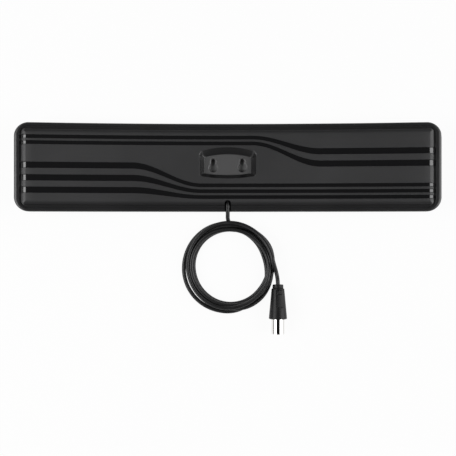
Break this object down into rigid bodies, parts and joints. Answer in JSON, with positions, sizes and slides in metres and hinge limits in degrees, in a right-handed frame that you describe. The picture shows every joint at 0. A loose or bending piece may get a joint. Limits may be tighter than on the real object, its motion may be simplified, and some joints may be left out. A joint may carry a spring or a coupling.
{
  "type": "indoor television antenna",
  "caption": "Slim bowed indoor television antenna lying on its face, with a keyhole recess in its back and a thin coiled coaxial lead that ends in a coaxial plug.",
  "frame": {"origin": "under the middle of the panel, on the surface that its bowed front face lies on", "axes": "+X along the panel, +Y across it away from the lead, +Z out of the back of the panel"},
  "size_m": [0.31, 0.1554, 0.0214],
  "materials": {
    "rear_shell": "fine spark-textured black plastic",
    "front_shell": "polished black plastic",
    "tinplate": "tinned sheet",
    "board": "bare phenolic board",
    "ferrite": "sintered",
    "copper_wire": "enamelled",
    "screw_steel": "zinc plated",
    "lead_jacket": "satin black vinyl",
    "plug_moulding": "satin black vinyl moulding",
    "plug_metal": "nickel plated",
    "insulator": "natural polyethylene"
  },
  "bodies": {
    "root": {"rear_cover": "rear_shell", "front_cover": "front_shell", "radiator_left": "tinplate", "radiator_right": "tinplate", "matching_board": "board", "board_screws": "screw_steel", "shield_can": "tinplate", "can_lid": "tinplate", "ferrite_core": "ferrite", "balun_winding": "copper_wire", "feed_straps": "tinplate", "lead_inside": "lead_jacket", "lead_ferrule": "screw_steel", "cord_lead": "lead_jacket", "cord_coil": "lead_jacket", "cord_tail": "lead_jacket", "plug_body": "plug_moulding", "plug_sleeve": "plug_metal", "plug_insulator": "insulator", "plug_pin": "plug_metal"}
  },
  "joints": []
}
